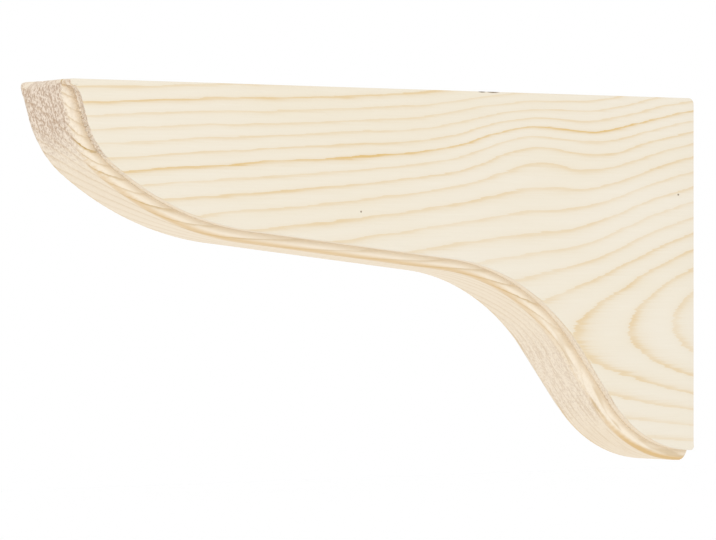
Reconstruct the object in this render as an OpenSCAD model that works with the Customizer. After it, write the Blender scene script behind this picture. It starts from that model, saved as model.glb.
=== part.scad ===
// Wooden corbel bracket: one pine board, sawn to an ogee outline and routed along it.
// X runs out of the wall: the nose is at negative X and the wall face is at x = 0.
// Y runs through the thickness of the board, and Z is up.
// The origin is the centre of the wall face. All sizes are in millimetres.

/* [Board] */
// How far the bracket stands out from the wall
projection = 250; // [190:1:320]
// Height of the wall face
height = 120; // [96:1:160]
// Thickness of the board
thickness = 31; // [22:0.5:45]
// Radius at the corner between the shelf face and the wall face
corner_r = 2; // [0.5:0.5:10]

/* [Sawn outline] */
// Radius of the small round at the top of the nose
tip_r = 2; // [0.5:0.25:4]
// Lean of the nose from upright, in degrees
nose_lean = 17; // [5:1:30]
// Length of the straight nose, from the sharp corner that the round at its top replaces
nose_run = 13; // [9:0.5:25]
// Radius of the tight curve under the nose
nose_r = 30; // [15:1:45]
// Slope below level at which the nose curve passes into the belly curve, in degrees
nose_turn = 36; // [20:1:55]
// Radius of the long curve along the belly
belly_r = 111; // [60:1:140]
// Slope of the straight waist, in degrees below level
waist_slope = 6; // [0:1:15]
// Radius of the hollow between the waist and the shank
hollow_r = 74; // [40:1:110]
// Slope of the straight shank, in degrees below level
shank_slope = 51; // [35:1:65]
// Radius of the foot, which ends level at the wall face
foot_r = 49; // [20:1:70]

/* [Routed edge] */
// Depth of the square step under each face
step_depth = 3.5; // [1:0.25:6]
// Radius of the quarter round below the step
ovolo_r = 3.5; // [1:0.25:5]
// Radius of the bearing that guides the cutter along the outline
bearing_r = 3.5; // [2:0.25:6]
// Distance from the shelf face down to the cutter's axis where the cut starts
cut_start = 6.5; // [2:0.5:9]

/* [Hidden] */

// Shortest straight stretch left between two curves
run_min = 1;
// Largest angle, in degrees, that one facet of a curve turns through
facet_turn = 2.5;
// Facets round the top of the nose, along the straight nose, across the quarter round and
// round the corner at the wall
tip_facets = 6;
nose_facets = 10;
ovolo_facets = 6;
corner_facets = 6;

nose_slope = 90 - nose_lean;
// The sharp corner at the top of the nose stands out a little further than its round does.
tip_reach = tip_r * tan((180 - nose_slope) / 2);
nose_top = [tip_r - tip_reach - projection, height / 2];
tip_centre = nose_top + [tip_reach, -tip_r];

// Unit vectors along the outline and out of the board, where it slopes by a below level.
function along(a) = [cos(a), -sin(a)];
function outward(a) = [-sin(a), -cos(a)];

// Where a curve of radius 1 gets to while its slope goes from a to b.
// Curves that bulge out of the board turn towards level, and the hollow turns away from it.
function turned(a, b) = a > b ? outward(b) - outward(a) : outward(a) - outward(b);

// The waist and the shank are as long as it takes to join the nose to the foot.
function waist_part(v) = cross(v, along(shank_slope)) / cross(along(waist_slope), along(shank_slope));
function shank_part(v) = cross(along(waist_slope), v) / cross(along(waist_slope), along(shank_slope));
span = [-nose_top[0], -height] - nose_run * along(nose_slope);
curves = nose_r * turned(nose_slope, nose_turn) + belly_r * turned(nose_turn, waist_slope)
    + hollow_r * turned(waist_slope, shank_slope) + foot_r * turned(shank_slope, 0);

// On a short or low bracket every curve shrinks by one ratio, so that both stretches stay.
function room(total, used) = used > 0 ? (total - run_min) / used : 1;
waist_room = room(waist_part(span), waist_part(curves));
shank_room = room(shank_part(span), shank_part(curves));
curve_ratio = min(1, waist_room, shank_room);
waist_run = waist_part(span - curve_ratio * curves);
shank_run = shank_part(span - curve_ratio * curves);

// Corner points of the outline, from the nose to the foot.
nose_end = nose_top + nose_run * along(nose_slope);
belly_start = nose_end + curve_ratio * nose_r * turned(nose_slope, nose_turn);
belly_end = belly_start + curve_ratio * belly_r * turned(nose_turn, waist_slope);
hollow_start = belly_end + waist_run * along(waist_slope);
hollow_end = hollow_start + curve_ratio * hollow_r * turned(waist_slope, shank_slope);
foot_start = hollow_end + shank_run * along(shank_slope);

// Points of a curve of radius r from slope a to slope b, moved into the board by inset.
function curve(start, r, a, b, inset) =
    let (n = ceil(abs(a - b) / facet_turn), side = a > b ? 1 : -1)
    [for (i = [0:n])
        let (t = a + (b - a) * i / n)
        start + side * r * (outward(t) - outward(a)) - inset * outward(t)];

// The cutter starts with its axis a little below the shelf face, so the cut runs out there in
// the round of the cutter: this is how deep it is at a height above the axis.
function run_out(inset, above) =
    above <= 0 ? inset
    : bearing_r + inset <= above ? 0
    : max(0, sqrt(pow(bearing_r + inset, 2) - pow(above, 2)) - bearing_r);

// A point of the nose, cut in by inset as far as the run-out lets it.
function nose_point(p, inset) =
    p + [run_out(inset, cut_start - (nose_top[1] - p[1])) / sin(nose_slope), 0];

// The round at the top of the nose, and the straight nose below it.
function nose(inset) =
    let (first = tip_r * (1 + cos(nose_slope)), last = nose_run * sin(nose_slope) - inset * cos(nose_slope))
    concat(
        [for (i = [0:tip_facets - 1])
            let (slope = 180 - (180 - nose_slope) * i / tip_facets)
            nose_point(tip_centre + tip_r * outward(slope), inset)],
        [for (i = [0:nose_facets - 1])
            let (down = first + (last - first) * i / nose_facets)
            nose_point(nose_top + [down / tan(nose_slope), -down], inset)]);

// The rounded corner between the wall face and the shelf face.
function top_corner() =
    [for (i = [0:corner_facets])
        let (t = 90 * i / corner_facets)
        [-corner_r, height / 2 - corner_r] + corner_r * [cos(t), sin(t)]];

// The whole outline with its routed side cut in by inset.
function outline(inset) = concat(
    nose(inset),
    curve(nose_end, curve_ratio * nose_r, nose_slope, nose_turn, inset),
    curve(belly_start, curve_ratio * belly_r, nose_turn, waist_slope, inset),
    curve(hollow_start, curve_ratio * hollow_r, waist_slope, shank_slope, inset),
    curve(foot_start, curve_ratio * foot_r, shank_slope, 0, inset),
    top_corner());

// Each layer is [depth below the face, inset]: the face, the foot of the step, and then the
// quarter round, which ends on the sawn edge.
face_layers = concat(
    [[0, ovolo_r]],
    [for (i = [0:ovolo_facets])
        let (t = 90 * i / ovolo_facets)
        [step_depth + ovolo_r * (1 - cos(t)), ovolo_r * (1 - sin(t))]]);

layers = concat(
    [for (l = face_layers) [l[0] - thickness / 2, l[1]]],
    [for (i = [len(face_layers) - 1:-1:0]) [thickness / 2 - face_layers[i][0], face_layers[i][1]]]);

// A point inside the outline that every point of the outline can be seen from. Each flat face
// is a fan of triangles round it.
hub = [-projection / 10, height / 4];

module bracket() {
    rings = [for (l = layers) [for (p = outline(l[1])) [p[0], l[0], p[1]]]];
    hubs = [for (side = [-1, 1]) [hub[0], side * thickness / 2, hub[1]]];
    n = len(rings[0]);
    last = len(rings) - 1;
    front_hub = n * len(rings);
    back_hub = front_hub + 1;
    color("#f0e6cf")
        polyhedron(
            points = concat([for (ring = rings) for (p = ring) p], hubs),
            faces = concat(
                [for (j = [0:n - 1]) [front_hub, (j + 1) % n, j]],
                [for (k = [0:last - 1]) for (j = [0:n - 1])
                    [k * n + j, k * n + (j + 1) % n, (k + 1) * n + (j + 1) % n, (k + 1) * n + j]],
                [for (j = [0:n - 1]) [back_hub, last * n + j, last * n + (j + 1) % n]]));
}

bracket();
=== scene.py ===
"""Wooden corbel bracket: the finished board, its camera and its studio light.

The bracket is one board of planed pine. It is sawn to an ogee outline, and a router has cut a
stepped quarter round along that outline on both faces. Lengths are in millimetres, apart from
those that go to Blender's own objects; MM turns one into the other.
"""
import math

import bmesh
import bpy
import numpy as np
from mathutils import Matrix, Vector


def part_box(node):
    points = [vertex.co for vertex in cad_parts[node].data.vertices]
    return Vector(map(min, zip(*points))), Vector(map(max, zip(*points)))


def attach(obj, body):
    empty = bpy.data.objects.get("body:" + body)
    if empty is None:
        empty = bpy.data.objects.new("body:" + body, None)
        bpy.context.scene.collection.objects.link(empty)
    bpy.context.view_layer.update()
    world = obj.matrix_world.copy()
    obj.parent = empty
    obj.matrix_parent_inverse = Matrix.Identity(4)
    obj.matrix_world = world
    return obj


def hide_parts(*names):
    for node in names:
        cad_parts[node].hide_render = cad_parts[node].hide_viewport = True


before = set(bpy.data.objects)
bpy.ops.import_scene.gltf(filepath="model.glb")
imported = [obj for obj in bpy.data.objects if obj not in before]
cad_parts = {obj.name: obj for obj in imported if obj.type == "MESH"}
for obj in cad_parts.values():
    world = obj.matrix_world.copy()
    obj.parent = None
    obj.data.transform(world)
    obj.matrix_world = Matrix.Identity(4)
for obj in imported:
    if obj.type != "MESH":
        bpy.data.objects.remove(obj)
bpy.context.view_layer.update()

MM = 0.001

# ---------------------------------------------------------------- sizes
# The board, as the frame gives it
low, high = (np.array(corner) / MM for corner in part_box("bracket"))
PROJECTION = high[0] - low[0]
HEIGHT = high[2] - low[2]
THICKNESS = high[1] - low[1]
TOP = high[2]
FRONT = low[1]

# The sawn outline: slopes in degrees below level, radii and lengths in millimetres
NOSE_SLOPE = 73.0
NOSE_RUN = 13.0
NOSE_R = 30.0
NOSE_TURN = 36.0
BELLY_R = 111.0
WAIST_SLOPE = 6.0
HOLLOW_R = 74.0
SHANK_SLOPE = 51.0
FOOT_R = 49.0
TIP_R = 2.0
CORNER_R = 2.0
# How far the tip's round reaches from the sharp corner that it replaces
TIP_REACH = TIP_R * math.tan(math.radians(180.0 - NOSE_SLOPE) / 2)

# The routed edge, and the small round that sanding leaves on every sharp edge
STEP_DEPTH = 3.5
OVOLO_R = 3.5
BEARING_R = 3.5
CUT_START = 6.5
ARRIS = 0.35
# Over this length the arris round dies out where the wall face ends, at the foot
ARRIS_FADE = 2.0
# Width of the painted shade line in the crease where the step meets the quarter round
GROOVE_SHADE_WIDTH = 0.32
# The routed edge is rounded off where it meets the wall: over what length, and how far in
FOOT_END = 1.2
FOOT_END_DEPTH = 0.8
# The half of the arm away from the wall, where the cut starts and the tip is worn
NOSE_HALF = -0.5 * PROJECTION
# The back of the nose's tip is worn away a little more: how much at the top, and down to where.
# It sets in behind this share of the thickness and over this share of it, and dies out downwards
# as a power.
WEAR = 3.4
WEAR_REACH = 5.0
WEAR_BEHIND = 0.2
WEAR_OVER = 0.5
WEAR_POWER = 1.5

# Where fibres tore out of the cut: places along X, how far the tears reach, and their strength
TEARS = [(-1.0 * PROJECTION, 26.0, 1.0), (-0.15 * PROJECTION, 9.0, 0.4)]
# Each tear is a tooth of this pitch along the edge and this depth, that leans with the depth
# below the face and wanders by a share of its pitch
TOOTH_PITCH = 1.7
TOOTH_DEPTH = 0.62
TOOTH_LEAN = 0.22
TOOTH_WANDER = 0.9
# Teeth die out from the step to the flat as a power, and patches vary their depth: the mean
# share, how much it varies and the most
TOOTH_POWER = 1.5
PATCH_MEAN = 0.75
PATCH_VARIES = 0.9
PATCH_MOST = 1.3
# Fuzz of loose fibres between the teeth: its depth on the flat, and what the step adds
FUZZ_DEPTH = 0.07
FUZZ_IN_STEP = 0.12
# Depth and pitch of the marks that the cutter leaves everywhere
MARK_DEPTH = 0.015
MARK_PITCH = 2.6
# All this relief starts this far along the edge from the shelf face, and both there and at the
# wall it takes this length to come up
RELIEF_START = 3.0
RELIEF_FADE = 2.0
# Cell sizes of the noises, along the edge and across it (they don't change in the third
# direction), and the seed of each
WANDER_CELL = (2.6, 1.8, 1.0)
WANDER_SEED = 3
PATCH_CELL = (4.0, 2.2, 1.0)
PATCH_SEED = 5
FUZZ_CELL = (0.55, 0.8, 1.0)
FUZZ_SEED = 4

# The mesh: columns along the outline, closer together over the nose, and rows up each flat face
COLUMNS = 700
NOSE_COLUMNS = 230
NOSE_LENGTH = 50.0
FACE_ROWS = 4
# Rows of points across each arris, the step, the quarter round and the sawn flat
ARRIS_ROWS = 5
STEP_ROWS = 5
QUARTER_ROWS = 10
FLAT_ROWS = 20
# The outline is summed from this many small steps for each column
STEPS_IN_COLUMN = 30
# Points nearer than this are one point, edges shorter than this are dropped, and edges sharper
# than this angle, in degrees, stay crisp
SAME_POINT = 0.002
SHORTEST_EDGE = 0.001
SHARP_ANGLE = 40.0
# Large odd numbers that scramble a place into a random value: for X, Y and Z, for the seed, and
# for the last turn
PLACE_MIX = (374761393, 668265263, 2147483647)
SEED_MIX = 974634777
LAST_MIX = 1274126177

# The camera: a long lens, level, turned towards the nose. It aims at a place given as shares of
# the projection, the thickness and the height. Its distance and reach are in metres.
VIEW_TURN = math.radians(38.0)
VIEW_AIM = (-0.518, -0.016, 0.026)
CAMERA_AWAY = 1.4
CAMERA_REACH = 50.0
FOCAL_IN_WIDTHS = 6.19
SENSOR = 36.0

# The studio, in metres and watts: a wide white floor some heights below the bracket, one soft
# lamp, and white light from all round
FLOOR_REACH = 6.0
FLOOR_DROP_IN_HEIGHTS = 3.0
FLOOR_COLOUR = "#ffffff"
FLOOR_ROUGHNESS = 0.9
KEY_PLACE = (-1.2, -1.8, 1.0)
KEY_SIZE = 1.5
KEY_POWER = 8.0
WORLD_STRENGTH = 1.0


def make_camera():
    """A long level lens aimed at the middle of the bracket."""
    data = bpy.data.cameras.new("camera")
    data.sensor_width = SENSOR
    data.lens = FOCAL_IN_WIDTHS * SENSOR
    data.clip_end = CAMERA_REACH
    camera = bpy.data.objects.new("camera", data)
    aim = np.array(VIEW_AIM) * (PROJECTION, THICKNESS, HEIGHT) * MM
    sight = np.array([math.sin(VIEW_TURN), math.cos(VIEW_TURN), 0.0])
    camera.location = aim - CAMERA_AWAY * sight
    camera.rotation_euler = (math.pi / 2, 0.0, -VIEW_TURN)
    bpy.context.scene.collection.objects.link(camera)
    bpy.context.scene.camera = camera


# ---------------------------------------------------------------- outline
def along(slope):
    """Unit vector along the outline where it slopes by this many radians below level."""
    return np.stack([np.cos(slope), -np.sin(slope)], axis=-1)


def outward(slope):
    """Unit vector out of the board where the outline slopes by this many radians."""
    return np.stack([-np.sin(slope), -np.cos(slope)], axis=-1)


def straight_runs():
    """Lengths of the waist and the shank, the two straights that close the chain of curves."""
    nose, turn, waist, shank = np.radians([NOSE_SLOPE, NOSE_TURN, WAIST_SLOPE, SHANK_SLOPE])
    sharp_corner = PROJECTION + TIP_REACH - TIP_R
    used = (NOSE_RUN * along(nose)
            + NOSE_R * (outward(turn) - outward(nose))
            + BELLY_R * (outward(waist) - outward(turn))
            + HOLLOW_R * (outward(waist) - outward(shank))
            + FOOT_R * (outward(0.0) - outward(shank)))
    left = np.array([sharp_corner, -HEIGHT]) - used
    return np.linalg.solve(np.stack([along(waist), along(shank)], axis=1), left)


def sawn_edge(count):
    """Points, slopes and distances along the sawn edge, from the shelf face to the wall face.

    Every stretch is straight or turns evenly, so the slope is a broken line against distance
    and the points are its running integral. It starts with the small round at the nose's tip.
    """
    waist_run, shank_run = straight_runs()
    slopes = np.radians([180.0, NOSE_SLOPE, NOSE_SLOPE, NOSE_TURN, WAIST_SLOPE, WAIST_SLOPE,
                         SHANK_SLOPE, SHANK_SLOPE, 0.0])
    radii = np.array([TIP_R, 0.0, NOSE_R, BELLY_R, 0.0, HOLLOW_R, 0.0, FOOT_R])
    straights = np.array([0.0, NOSE_RUN - TIP_REACH, 0.0, 0.0, waist_run, 0.0, shank_run, 0.0])
    lengths = np.abs(np.diff(slopes)) * radii + straights
    knots = np.concatenate([[0.0], np.cumsum(lengths)])
    fine = np.linspace(0.0, knots[-1], STEPS_IN_COLUMN * count)
    steps = along(np.interp(fine, knots, slopes))
    walked = np.cumsum(0.5 * (steps[1:] + steps[:-1]) * np.diff(fine)[:, None], axis=0)
    points = np.concatenate([np.zeros((1, 2)), walked])
    points += np.array([0.0, TOP - HEIGHT]) - points[-1]
    distance = np.concatenate([np.linspace(0.0, NOSE_LENGTH, NOSE_COLUMNS)[:-1],
                               np.linspace(NOSE_LENGTH, knots[-1], count - NOSE_COLUMNS + 1)])
    where = np.stack([np.interp(distance, fine, points[:, i]) for i in range(2)], axis=-1)
    return distance, where, np.interp(distance, knots, slopes)


def upper_path(share, start_x, drop):
    """Points along the shelf face, round the corner and down the wall face.

    share is how far along each column lies, from 0 to 1. start_x and drop have the place where
    each layer starts and the height at which its wall stretch ends, one row of points for each.
    """
    corner = 0.5 * math.pi * CORNER_R
    top_run = -CORNER_R - start_x[:, None]
    wall_run = TOP - CORNER_R - drop[:, None]
    total = top_run + corner + wall_run
    t = share[None, :] * total
    turn = np.clip((t - top_run) / CORNER_R, 0.0, 0.5 * math.pi)
    x = np.minimum(start_x[:, None] + t, -CORNER_R) + CORNER_R * np.sin(turn)
    z = TOP - CORNER_R + CORNER_R * np.cos(turn) - np.maximum(t - top_run - corner, 0.0)
    return x, z, turn, total - t


# ---------------------------------------------------------------- noise for the relief
def lattice(seed, cells):
    """Random values from -1 to 1 at whole-number points, made the same way on every run.

    The point's numbers are multiplied by large odd ones and added up, the bits are folded over
    twice, and the lowest 16 of them are the value.
    """
    h = (cells.astype(np.int64) * np.array(PLACE_MIX)).sum(axis=-1) + seed * SEED_MIX
    h = (h ^ (h >> 13)) * LAST_MIX
    h = h ^ (h >> 16)
    return (h & 0xFFFF) / (0xFFFF / 2) - 1.0


def smooth_noise(points, size, seed):
    """Value noise: lattice values blended with a cubic ease between cells of this size in mm."""
    p = points / np.array(size)
    base = np.floor(p)
    f = p - base
    f = f * f * (3.0 - 2.0 * f)
    total = 0.0
    for corner in np.ndindex(2, 2, 2):
        weight = np.prod(np.where(np.array(corner) == 1, f, 1.0 - f), axis=-1)
        total = total + weight * lattice(seed, base + np.array(corner))
    return total


# ---------------------------------------------------------------- the board
def layers_across():
    """Depth, routed inset and eased inset of each layer, from the front face to the back one.

    Front face round, square step, quarter round, sawn flat, and the same again mirrored.
    """
    ease = np.radians(np.linspace(0.0, 90.0, ARRIS_ROWS))
    quarter = np.radians(np.linspace(0.0, 90.0, QUARTER_ROWS))
    depth = np.concatenate([
        ARRIS * (1 - np.cos(ease)),
        np.linspace(ARRIS, STEP_DEPTH, STEP_ROWS)[1:],
        STEP_DEPTH + OVOLO_R * (1 - np.cos(quarter[1:]))])
    routed = np.concatenate([
        np.full(ARRIS_ROWS + STEP_ROWS - 1, OVOLO_R),
        OVOLO_R * (1 - np.sin(quarter[1:]))])
    eased = np.concatenate([ARRIS * (1 - np.sin(ease)), np.zeros(len(depth) - ARRIS_ROWS)])
    flat = np.linspace(depth[-1], THICKNESS - depth[-1], FLAT_ROWS)[1:-1]
    none = np.zeros(len(flat))
    return (np.concatenate([depth, flat, THICKNESS - depth[::-1]]),
            np.concatenate([routed, none, routed[::-1]]),
            np.concatenate([eased, none, eased[::-1]]))


def run_out(inset, above):
    """Depth of cut at a height above the cutter's axis, where the cut starts in its round."""
    reach = BEARING_R + inset
    rounded = np.sqrt(np.maximum(reach ** 2 - np.maximum(above, 0.0) ** 2, 0.0)) - BEARING_R
    return np.where(above <= 0.0, inset, np.maximum(rounded, 0.0))


def edge_relief(points, distance, routed):
    """How far the cut surface stands in, in mm: cutter marks, and fibres torn out in places.

    A tear is a tooth that starts abruptly and fades over its pitch, as (1 - fraction) squared,
    and its place wanders with a noise. Tears are deepest in the step and die out on the flat.
    """
    marks = MARK_DEPTH * np.sin(2 * math.pi * distance / MARK_PITCH)[None, :]
    flat_place = np.stack([np.broadcast_to(distance[None, :], routed.shape), points[..., 1],
                           np.zeros_like(routed)], axis=-1)
    wander = TOOTH_WANDER * smooth_noise(flat_place, WANDER_CELL, WANDER_SEED)
    tooth = np.mod(distance[None, :] / TOOTH_PITCH + TOOTH_LEAN * points[..., 1] + wander, 1.0)
    patch = PATCH_MEAN + PATCH_VARIES * smooth_noise(flat_place, PATCH_CELL, PATCH_SEED)
    patch = np.clip(patch, 0.0, PATCH_MOST)
    fuzz = smooth_noise(flat_place, FUZZ_CELL, FUZZ_SEED) + 1.0
    near = sum(share * np.exp(-((points[..., 0] - x) / reach) ** 2) for x, reach, share in TEARS)
    in_step = (routed / OVOLO_R) ** TOOTH_POWER
    teeth = TOOTH_DEPTH * in_step * patch * (1.0 - tooth) ** 2
    return marks + near * (teeth + (FUZZ_DEPTH + FUZZ_IN_STEP * in_step) * fuzz)


def grid_faces(rows, columns, start):
    """Quads of a grid of vertices that is stored row by row from this index."""
    r, c = np.meshgrid(np.arange(rows - 1), np.arange(columns - 1), indexing="ij")
    a = (start + r * columns + c).ravel()
    return np.stack([a, a + 1, a + columns + 1, a + columns], axis=1)


def make_board():
    """The whole board as one closed skin.

    The sawn and routed edge is a profile of layers carried along the outline, and the shelf
    and wall faces carry the same layers back from the nose to the foot. Each flat face is a
    grid of straight lines from the edge to the shelf or the wall.
    """
    depth, routed, eased = layers_across()
    distance, where, slope = sawn_edge(COLUMNS)
    y = FRONT + depth
    near_nose = where[:, 0] < NOSE_HALF
    above = np.where(near_nose, where[:, 1] - (TOP - CUT_START), 0.0)
    cut = run_out(routed[:, None], above[None, :])
    down = np.where(near_nose, np.clip((TOP - where[:, 1]) / WEAR_REACH, 0.0, 1.0), 1.0)
    far_back = (depth - WEAR_BEHIND * THICKNESS) / (WEAR_OVER * THICKNESS)
    far_back = np.clip(far_back, 0.0, 1.0)
    worn = WEAR * (1.0 - down[None, :]) ** WEAR_POWER * far_back[:, None]
    foot_end = np.clip(1.0 - (distance[-1] - distance) / FOOT_END, 0.0, 1.0)[None, :]
    foot_round = FOOT_END_DEPTH * (1.0 - np.sqrt(1.0 - foot_end ** 2)) * (routed[:, None] > 0)
    inset = cut + eased[:, None] + foot_round
    normal = outward(slope)
    edge = np.empty((len(y), COLUMNS, 3))
    edge[..., 0] = where[:, 0] - inset * normal[:, 0] + worn
    edge[..., 1] = y[:, None]
    edge[..., 2] = where[:, 1] - inset * normal[:, 1]
    below_arris = (depth > ARRIS) & (depth < THICKNESS - ARRIS)
    relief = edge_relief(edge, distance, routed[:, None] * np.ones_like(inset))
    fade = np.minimum(distance - RELIEF_START, distance[-1] - distance) / RELIEF_FADE
    relief = relief * np.clip(fade, 0.0, 1.0)[None, :] * below_arris[:, None]
    edge[..., 0] -= relief * normal[:, 0]
    edge[..., 2] -= relief * normal[:, 1]
    # no layer stands above the shelf face, and all of them end on the wall face
    edge[..., 2] = np.minimum(edge[..., 2], TOP - eased[:, None])
    edge[:, -1, 0] = 0.0

    x, z, turn, left = upper_path(distance / distance[-1], edge[:, 0, 0], edge[:, -1, 2])
    hold = np.clip(left / ARRIS_FADE, 0.0, 1.0) * eased[:, None]
    upper = np.stack([x - hold * np.sin(turn), y[:, None] * np.ones_like(x),
                      z - hold * np.cos(turn)], axis=-1)
    upper[:, 0] = edge[:, 0]

    rise = np.linspace(0.0, 1.0, FACE_ROWS + 1)[:, None, None]
    front = edge[0][None] * (1 - rise) + upper[0][None] * rise
    back = edge[-1][None] * (1 - rise) + upper[-1][None] * rise

    layers = len(y)
    points = np.concatenate([g.reshape(-1, 3) for g in (edge, upper, front, back)])
    starts = np.cumsum([0, edge.size // 3, upper.size // 3, front.size // 3])
    faces = np.concatenate([
        grid_faces(layers, COLUMNS, starts[0])[:, ::-1],
        grid_faces(layers, COLUMNS, starts[1]),
        grid_faces(FACE_ROWS + 1, COLUMNS, starts[2]),
        grid_faces(FACE_ROWS + 1, COLUMNS, starts[3])[:, ::-1]])
    mesh = bpy.data.meshes.new("bracket_board")
    mesh.from_pydata((points * MM).tolist(), [], faces.tolist())
    # painted shade: a dark line laid along the crease between the step and the quarter round
    groove = np.exp(-((np.minimum(depth, THICKNESS - depth) - STEP_DEPTH) / GROOVE_SHADE_WIDTH) ** 2)
    for name, value in (("sawn", np.repeat(below_arris, COLUMNS)),
                        ("routed", np.repeat(below_arris * routed / OVOLO_R, COLUMNS)),
                        ("groove", np.repeat(groove, COLUMNS)),
                        ("run", np.tile(distance, layers))):
        values = np.zeros(len(points), dtype=np.float32)
        values[:starts[1]] = value
        mesh.attributes.new(name, "FLOAT", "POINT").data.foreach_set("value", values)

    work = bmesh.new()
    work.from_mesh(mesh)
    bmesh.ops.remove_doubles(work, verts=work.verts, dist=SAME_POINT * MM)
    bmesh.ops.dissolve_degenerate(work, edges=work.edges, dist=SHORTEST_EDGE * MM)
    bmesh.ops.recalc_face_normals(work, faces=work.faces)
    for face in work.faces:
        face.smooth = True
    work.to_mesh(mesh)
    work.free()
    mesh.set_sharp_from_angle(angle=math.radians(SHARP_ANGLE))
    board = bpy.data.objects.new("bracket_board", mesh)
    bpy.context.scene.collection.objects.link(board)
    return board


# ---------------------------------------------------------------- materials
def linear(code):
    """Linear red, green, blue and alpha of an sRGB hex colour."""
    parts = [int(code[i:i + 2], 16) / 255 for i in (1, 3, 5)]
    return [c / 12.92 if c <= 0.04045 else ((c + 0.055) / 1.055) ** 2.4 for c in parts] + [1.0]


# Kinds of node
MATH = "ShaderNodeMath"
VECTOR = "ShaderNodeVectorMath"
CURVE = "ShaderNodeFloatCurve"
RANGE = "ShaderNodeMapRange"
NOISE = "ShaderNodeTexNoise"
RANDOM = "ShaderNodeTexWhiteNoise"
PLACE = "ShaderNodeTexCoord"
PART = "ShaderNodeSeparateXYZ"
JOIN = "ShaderNodeCombineXYZ"
ATTRIBUTE = "ShaderNodeAttribute"
MIX = "ShaderNodeMix"
BUMP = "ShaderNodeBump"
SURFACE = "ShaderNodeBsdfPrincipled"
RESULT = "ShaderNodeOutputMaterial"
# Sockets of a mix of colours: the colour below, the colour above, and what comes out
BELOW = 6
ABOVE = 7
MIXED = 2


def add(tree, kind, inputs=(), output=0, points=(), **settings):
    """Add a node with its settings and links, and give back one of its outputs.

    The inputs are values or links, in order, or in a dict by name or number. The points are
    those of a curve, each between 0 and 1.
    """
    node = tree.nodes.new(kind)
    for name, value in settings.items():
        setattr(node, name, value)
    for socket, value in inputs.items() if isinstance(inputs, dict) else enumerate(inputs):
        if isinstance(value, bpy.types.NodeSocket):
            tree.links.new(value, node.inputs[socket])
        else:
            node.inputs[socket].default_value = value
    if points:
        curve = node.mapping.curves[0]
        curve.points[0].location = points[0]
        curve.points[1].location = points[-1]
        for point in points[1:-1]:
            curve.points.new(*point)
        node.mapping.update()
    return node.outputs[output] if node.outputs else None


# Colours: earlywood and latewood on the planed faces, then the same on the sawn and routed edge
# (the routed latewood also paints the shade in the groove) and on cut fibre ends, then open pores,
# specks, painted shade on the downward parts of the edge, and single fibres
EARLY_LIGHT = "#e8e2d6"
EARLY_DEEP = "#e5dcc8"
LATE = "#d8b77a"
SAWN = "#f1e5d2"
SAWN_LATE = "#c9a574"
ROUTED_LATE_AND_GROOVE_SHADE = "#b7944f"
ENDS = "#ecdccb"
ENDS_LATE = "#b3906a"
PORE = "#9c7654"
SPECK = "#6f5a40"
PAINTED_UNDERSIDE_SHADE = "#d9b781"
FIBRE = "#c4ab7c"

# How dark the wood is through one year, from just after a dark line to the next one
LATEWOOD = [(0, 0.5), (0.06, 0.16), (0.2, 0.05), (0.55, 0.08), (0.76, 0.3), (0.9, 0.85),
            (0.97, 1.0), (1, 0.8)]

# How far the routed edge takes its own streaks, from the flat, at 0, up to the step, at 1
ROUND_SHARE = [(0, 0.3), (0.05, 0.95), (0.3, 0.9), (0.7, 0.55), (0.95, 0.1), (1, 0)]

# How strongly painted shade darkens the downward parts of the routed edge, from the flat, at 0,
# up to the step, at 1
UNDERSIDE_SHADE_SHARE = [(0, 0.12), (0.03, 0.55), (0.2, 0.8), (0.45, 0.5), (0.8, 0.15), (1, 0.1)]

# Growth rings: the width of a year's wood and the radius of one dark line, how far a slow run of
# wet and dry years shifts the lines and over what radius, and how dark the lines are by radius
YEAR = 3.5
FIRST_LINE = 10.5
DRIFT = 1.2
DRIFT_LENGTH = 50.0
DRIFT_FROM = 82.0
RING_REACH = 110.0
DARKNESS = [(0, 0.5), (34, 0.45), (40, 0.7), (46, 0.5), (73, 0.6), (78, 1.0), (82, 0.55),
            (89, 0.5), (92.5, 1.0), (96, 0.5), (110, 0.5)]
# One year's line differs from the next, and a line is fainter in places: by how much each varies
# the line, and the least that it leaves
YEARS_VARY = (0.5, 0.75)
PATCHES_VARY = (1.5, 0.2)

# The pith runs behind the front face: its distance behind and its height, from nose to wall
PITH_BEHIND = [60, 53, 47, 42, 33]
PITH_HEIGHT = [-18, -21, -22, -18, -14]
BEHIND_RANGE = (20.0, 70.0)
HEIGHT_RANGE = (-30.0, 0.0)

# Close to the front face the rings lean more than round the pith, over the depth of the moulding
EXTRA_LEAN = 0.9
LEAN_DEPTH = 7.0

# Where the fibres swell round a knot that lies deeper in the board:
# lift of the rings, centre along X and Z, and half widths along X and Z
SWELLS = [(7.5, -68, 42, 25, 16), (-5, -52, 32, 29, 40)]

# Small dark marks on the front face: place along X and Z, and half widths
SPECKS = [(-140, 21.3, 0.4, 0.4), (-7, 28, 0.5, 0.4), (-91, 59.9, 1.8, 0.35),
          (-86.5, 59.9, 3.0, 0.35)]
SPECK_DEPTH = 1.0

# Noises: sizes along X, Y and Z in millimetres, detail and roughness. The first two move the
# rings up and down by WAVER and RIPPLE, and the third makes their lines fainter in places. The
# fibres feather the rings' edges by FEATHER. Real fibres and pores are far finer than these,
# which are drawn as coarse as they need to be to show.
NOISES = {
    "waver": ((55.0, 20.0, 17.0), 2.0, 0.5),
    "ripple": ((11.0, 3.3, 2.5), 3.0, 0.5),
    "patches": ((33.0, 10.0, 6.5), 3.0, 0.5),
    "fibre": ((20.0, 0.7, 0.6), 3.0, 0.6),
    "cloud": ((80.0, 25.0, 20.0), 2.0, 0.5),
    "pores": ((0.9, 0.6, 0.9), 2.0, 0.6),
}
WAVER = 2.4
RIPPLE = 1.0
FEATHER = 1.0

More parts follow.
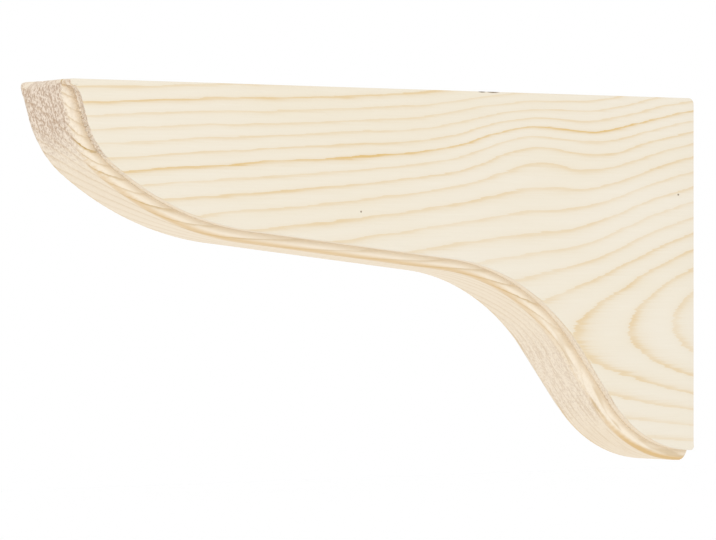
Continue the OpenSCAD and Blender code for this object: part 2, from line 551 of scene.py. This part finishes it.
# How steeply a surface must cut across the fibres before it shows some of their ends, before it
# begins to show nothing else, and how abruptly that sets in
SOME_ENDS = (0.35, 0.95)
ALL_ENDS = (0.6, 0.97)
ENDS_POWER = 2.2
# How much less the ends show up in the step than on the flat
ENDS_LOST_IN_STEP = 0.55
# How far a surface must face down before painted shade darkens it
FACING_DOWN = (-0.55, -0.85)
# Towards the wall the ring streaks of the sawn and routed edge fade, long combed streaks take
# their place, and the painted shade on the downward parts grows darker: from where to where along
# X, and from what share to what share
NEAR_WALL = (-0.26 * PROJECTION, -0.16 * PROJECTION)
RING_STREAKS = (1.25, 0.12)
COMBED_STREAKS = (0.0, 0.6)
UNDERSIDE_SHADE_GAIN = (1.0, 1.7)
# Combed streaks: their length and width in millimetres, with nothing in the third direction, and
# the noise levels between which they darken
COMB_SIZE = (13.0, 1.1, 1.0)
COMB_LEVELS = (0.52, 0.66)
# Every cut fibre shows its end on the tip of the nose: from where to where along X that fades
TIP_FADE = (-PROJECTION + 4.5, -PROJECTION + 8.0, 1.0, 0.0)
# Noise levels between which pores open, how much they gather in rows along the sawn edge, and
# how strongly they show where all and where some of the fibres end
PORE_LEVELS = (0.44, 0.58)
PORE_ROWS = 0.4
PORES_IN_ALL_ENDS = 0.44
PORES_IN_SOME_ENDS = 0.18
# How strongly the lines show on the planed faces and on the ends, and on the sawn flat: what
# the ends add there, and the least. Then the painted shade in the groove and the fibres everywhere.
LINES_ON_FACES = 0.78
LINES_ON_ENDS = 0.45
LINES_ON_FLAT = (0.45, 0.2)
GROOVE_SHADE = 0.25
FIBRES = 0.12
# Bare wood is matt: how much the fibres vary its roughness, and the least
ROUGHNESS = (0.15, 0.6)
WOOD_IOR = 1.45
# How deep the grain is, in millimetres, how strongly it shows, and the fibres' share beside that
# of the open pores
GRAIN_RELIEF = 0.15
GRAIN_STRENGTH = 0.7
FIBRE_RELIEF = 0.5


def spread(tree, x, z, x0, z0, wide, tall):
    """Square of the distance from a place on the face, in half widths along X and along Z."""
    dx = add(tree, MATH, (add(tree, MATH, (x, x0), operation="SUBTRACT"), wide), operation="DIVIDE")
    dz = add(tree, MATH, (add(tree, MATH, (z, z0), operation="SUBTRACT"), tall), operation="DIVIDE")
    dz_square = add(tree, MATH, (dz, dz), operation="MULTIPLY")
    return add(tree, MATH, (dx, dx, dz_square), operation="MULTIPLY_ADD")


def along_board(tree, x, values, least, most):
    """A smooth curve from nose to wall through these evenly spaced values."""
    t = add(tree, MATH, (x, 1 / PROJECTION, 1.0), operation="MULTIPLY_ADD")
    points = [(i / (len(values) - 1), (v - least) / (most - least)) for i, v in enumerate(values)]
    curve = add(tree, CURVE, {"Value": t}, points=points)
    return add(tree, MATH, (curve, most - least, least), operation="MULTIPLY_ADD")


def distance_from_pith(tree, x, y, z, noise):
    """How far a place is from the pith, in millimetres, with the grain's waver and its swells."""
    height = add(tree, MATH, (noise["waver"], WAVER, z), operation="MULTIPLY_ADD")
    height = add(tree, MATH, (noise["ripple"], RIPPLE, height), operation="MULTIPLY_ADD")
    height = add(tree, MATH, (height, 0.5 * (WAVER + RIPPLE)), operation="SUBTRACT")
    for lift, *where in SWELLS:
        away = add(tree, MATH, (spread(tree, x, z, *where), -1.0), operation="MULTIPLY")
        bump = add(tree, MATH, (away,), operation="EXPONENT")
        height = add(tree, MATH, (bump, -lift, height), operation="MULTIPLY_ADD")
    pith = along_board(tree, x, PITH_HEIGHT, *HEIGHT_RANGE)
    up = add(tree, MATH, (height, pith), operation="SUBTRACT")
    depth = add(tree, MATH, (y, FRONT), operation="SUBTRACT")
    shallow = add(tree, MATH, (depth, LEAN_DEPTH), operation="MINIMUM")
    leaning = add(tree, MATH, (shallow, EXTRA_LEAN, depth), operation="MULTIPLY_ADD")
    behind = along_board(tree, x, PITH_BEHIND, *BEHIND_RANGE)
    back = add(tree, MATH, (behind, leaning), operation="SUBTRACT")
    up_square = add(tree, MATH, (up, up), operation="MULTIPLY")
    square = add(tree, MATH, (back, back, up_square), operation="MULTIPLY_ADD")
    radius = add(tree, MATH, (square,), operation="SQRT")
    radius = add(tree, MATH, (radius, 0.5 * FEATHER), operation="SUBTRACT")
    return add(tree, MATH, (noise["fibre"], FEATHER, radius), operation="MULTIPLY_ADD")


def growth_line(tree, radius, noise):
    """How dark the wood is at a distance from the pith: 0 in the pale wood, 1 in a strong line.

    The years are YEAR wide, and a slow sine shifts them by DRIFT. A year's line has the strength
    that DARKNESS gives its radius, times a share that differs from one year to the next.
    """
    turn = add(tree, MATH, (radius, DRIFT_FROM), operation="SUBTRACT")
    turn = add(tree, MATH, (turn, 2 * math.pi / DRIFT_LENGTH), operation="MULTIPLY")
    drift = add(tree, MATH, (turn,), operation="SINE")
    shifted = add(tree, MATH, (drift, DRIFT, radius), operation="MULTIPLY_ADD")
    years = add(tree, MATH, (shifted, 1 / YEAR, -FIRST_LINE / YEAR), operation="MULTIPLY_ADD")
    season = add(tree, MATH, (years,), operation="FRACT")
    line = add(tree, CURVE, {"Value": season}, points=LATEWOOD)
    year = add(tree, MATH, (years,), operation="ROUND")
    luck = add(tree, RANDOM, {"W": year}, noise_dimensions="1D")
    own_share = add(tree, MATH, (luck, *YEARS_VARY), operation="MULTIPLY_ADD")
    share = add(tree, MATH, (radius, RING_REACH), operation="DIVIDE")
    points = [(r / RING_REACH, dark) for r, dark in DARKNESS]
    strength = add(tree, CURVE, {"Value": share}, points=points)
    patchy = add(tree, MATH, (noise["patches"], *PATCHES_VARY), operation="MULTIPLY_ADD")
    for factor in (strength, own_share, patchy):
        line = add(tree, MATH, (line, factor), operation="MULTIPLY")
    return line


def pine():
    """Raw planed pine: pale earlywood, honey-coloured latewood lines, and no finish on it.

    The eye gets a matt, nearly white face with soft lines, a warmer sawn and routed edge with
    streaks, and darker, porous wood where the fibres are cut across. The colour follows growth
    rings, which are the distance from a curved pith behind the front face, so the lines run on
    from the faces over the routed edge and the ends.
    """
    material = bpy.data.materials.new("pine_raw_planed")
    material.use_nodes = True
    tree = material.node_tree
    tree.nodes.clear()
    place = add(tree, PLACE, output="Object")
    mm = add(tree, VECTOR, {0: place, "Scale": 1 / MM}, operation="SCALE")
    x, y, z = (add(tree, PART, (mm,), axis) for axis in "XYZ")
    sawn, routed, groove, run = (add(tree, ATTRIBUTE, output="Fac", attribute_name=name)
                                 for name in ("sawn", "routed", "groove", "run"))
    noise = {}
    for name, (size, detail, rough) in NOISES.items():
        cell = add(tree, VECTOR, (mm, size), operation="DIVIDE")
        noise[name] = add(tree, NOISE, {"Vector": cell, "Scale": 1.0, "Detail": detail,
                                        "Roughness": rough})
    line = growth_line(tree, distance_from_pith(tree, x, y, z, noise), noise)

    # streaks that run along the sawn edge
    comb = add(tree, VECTOR, (add(tree, JOIN, (run, y, 0.0)), COMB_SIZE), operation="DIVIDE")
    comb = add(tree, NOISE, {"Vector": comb, "Scale": 1.0, "Detail": 1.0})

    # the quarter round, and the rest of the sawn edge
    on_round = add(tree, CURVE, {"Value": routed}, points=ROUND_SHARE)
    off_round = add(tree, MATH, (1.0, on_round), operation="SUBTRACT")

    # where the surface cuts across the fibres it shows their ends: steep parts of the edge and
    # the wall face
    normal = add(tree, PLACE, output="Normal")
    across = add(tree, MATH, (add(tree, PART, (normal,), "X"),), operation="ABSOLUTE")
    some_ends = add(tree, RANGE, (across, *SOME_ENDS))
    ends = add(tree, MATH, (add(tree, RANGE, (across, *ALL_ENDS)), ENDS_POWER), operation="POWER")
    tip = add(tree, MATH, (add(tree, RANGE, (x, *TIP_FADE)), sawn), operation="MULTIPLY")
    tip = add(tree, MATH, (tip, off_round), operation="MULTIPLY")
    ends = add(tree, MATH, (ends, tip), operation="MAXIMUM")
    kept = add(tree, MATH, (routed, -ENDS_LOST_IN_STEP, 1.0), operation="MULTIPLY_ADD")
    ends = add(tree, MATH, (ends, kept), operation="MULTIPLY")
    rows = add(tree, MATH, (comb, 0.5), operation="SUBTRACT")
    rows = add(tree, MATH, (rows, sawn), operation="MULTIPLY")
    pores = add(tree, MATH, (rows, PORE_ROWS, noise["pores"]), operation="MULTIPLY_ADD")
    pores = add(tree, RANGE, (pores, *PORE_LEVELS))
    some_open = add(tree, MATH, (some_ends, PORES_IN_SOME_ENDS), operation="MULTIPLY")
    open_share = add(tree, MATH, (ends, PORES_IN_ALL_ENDS, some_open), operation="MULTIPLY_ADD")

    # what else changes over the sawn and routed edge
    facing_down = add(tree, RANGE, (add(tree, PART, (normal,), "Z"), *FACING_DOWN))
    flat_share = add(tree, MATH, (ends, *LINES_ON_FLAT), operation="MULTIPLY_ADD")
    ring_streaks, combed_streaks, gain = (add(tree, RANGE, (x, *NEAR_WALL, *shares)) for shares in
                                          (RING_STREAKS, COMBED_STREAKS, UNDERSIDE_SHADE_GAIN))
    combed = add(tree, RANGE, (comb, *COMB_LEVELS))
    # painted shade: how much the downward-facing parts are darkened, across the quarter round
    underside_share = add(tree, CURVE, {"Value": routed}, points=UNDERSIDE_SHADE_SHARE)

    # each layer of colour covers the ones before it by the product of its factors
    layers = [
        ((noise["cloud"],), EARLY_DEEP),
        ((line, LINES_ON_FACES), LATE),
        ((sawn,), SAWN),
        ((line, sawn, off_round, flat_share, ring_streaks), SAWN_LATE),
        ((line, sawn, on_round, ring_streaks), ROUTED_LATE_AND_GROOVE_SHADE),
        ((combed, sawn, on_round, combed_streaks), ROUTED_LATE_AND_GROOVE_SHADE),
        ((ends,), ENDS),
        ((line, ends, LINES_ON_ENDS), ENDS_LATE),
        ((pores, open_share), PORE),
        # painted shade on the parts of the sawn and routed edge that face down, stronger towards
        # the wall
        ((sawn, facing_down, underside_share, gain), PAINTED_UNDERSIDE_SHADE),
        # painted shade in the crease between the step and the quarter round, in the routed latewood
        # colour
        ((groove, GROOVE_SHADE), ROUTED_LATE_AND_GROOVE_SHADE),
        ((noise["fibre"], FIBRES), FIBRE),
    ]
    on_front = add(tree, MATH, (y, FRONT + SPECK_DEPTH), operation="LESS_THAN")
    for speck in SPECKS:
        inside = add(tree, MATH, (1.0, spread(tree, x, z, *speck)), operation="SUBTRACT")
        layers.append(((add(tree, MATH, (inside, 0.0), operation="MAXIMUM"), on_front), SPECK))
    colour = linear(EARLY_LIGHT)
    for (amount, *factors), code in layers:
        for factor in factors:
            amount = add(tree, MATH, (amount, factor), operation="MULTIPLY")
        colour = add(tree, MIX, {"Factor": amount, BELOW: colour, ABOVE: linear(code)}, MIXED,
                     data_type="RGBA")

    rough = add(tree, MATH, (noise["fibre"], *ROUGHNESS), operation="MULTIPLY_ADD")
    open_pores = add(tree, MATH, (pores, ends), operation="MULTIPLY")
    relief = add(tree, MATH, (noise["fibre"], FIBRE_RELIEF), operation="MULTIPLY")
    relief = add(tree, MATH, (relief, open_pores), operation="SUBTRACT")
    bump = add(tree, BUMP, {"Height": relief, "Distance": GRAIN_RELIEF * MM,
                            "Strength": GRAIN_STRENGTH})
    shader = add(tree, SURFACE, {"Base Color": colour, "Roughness": rough, "Normal": bump,
                                 "IOR": WOOD_IOR})
    add(tree, RESULT, {"Surface": shader})
    return material


def plain(name, code, roughness):
    """One even colour, for the studio's floor."""
    material = bpy.data.materials.new(name)
    material.use_nodes = True
    shader = material.node_tree.nodes["Principled BSDF"]
    shader.inputs["Base Color"].default_value = linear(code)
    shader.inputs["Roughness"].default_value = roughness
    return material


# ---------------------------------------------------------------- studio
def make_floor(material):
    """A wide level floor well below the bracket."""
    reach = FLOOR_REACH
    level = (low[2] - FLOOR_DROP_IN_HEIGHTS * HEIGHT) * MM
    mesh = bpy.data.meshes.new("floor")
    mesh.from_pydata([(-reach, -reach, level), (reach, -reach, level), (reach, reach, level),
                      (-reach, reach, level)], [], [(0, 1, 2, 3)])
    mesh.materials.append(material)
    floor = bpy.data.objects.new("floor", mesh)
    bpy.context.scene.collection.objects.link(floor)


def make_light(name, place, size, power):
    """A soft square lamp that faces the bracket's middle."""
    data = bpy.data.lights.new(name, "AREA")
    data.shape = "SQUARE"
    data.size = size
    data.energy = power
    lamp = bpy.data.objects.new(name, data)
    middle = np.array([-0.5 * PROJECTION * MM, 0.0, 0.0])
    away = middle - np.array(place)
    across = math.hypot(away[0], away[1])
    lamp.location = place
    lamp.rotation_euler = (math.atan2(across, -away[2]), 0.0, math.atan2(-away[0], away[1]))
    bpy.context.scene.collection.objects.link(lamp)


def make_world(strength):
    """Even white light from all round."""
    world = bpy.data.worlds.new("studio")
    world.use_nodes = True
    background = world.node_tree.nodes["Background"]
    background.inputs["Color"].default_value = (1.0, 1.0, 1.0, 1.0)
    background.inputs["Strength"].default_value = strength
    bpy.context.scene.world = world


make_camera()
make_world(WORLD_STRENGTH)
make_light("key", KEY_PLACE, KEY_SIZE, KEY_POWER)
make_floor(plain("studio_floor", FLOOR_COLOUR, FLOOR_ROUGHNESS))
bpy.context.scene.view_settings.view_transform = "Standard"

board = make_board()
board.data.materials.append(pine())
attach(board, "root")
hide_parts("bracket")
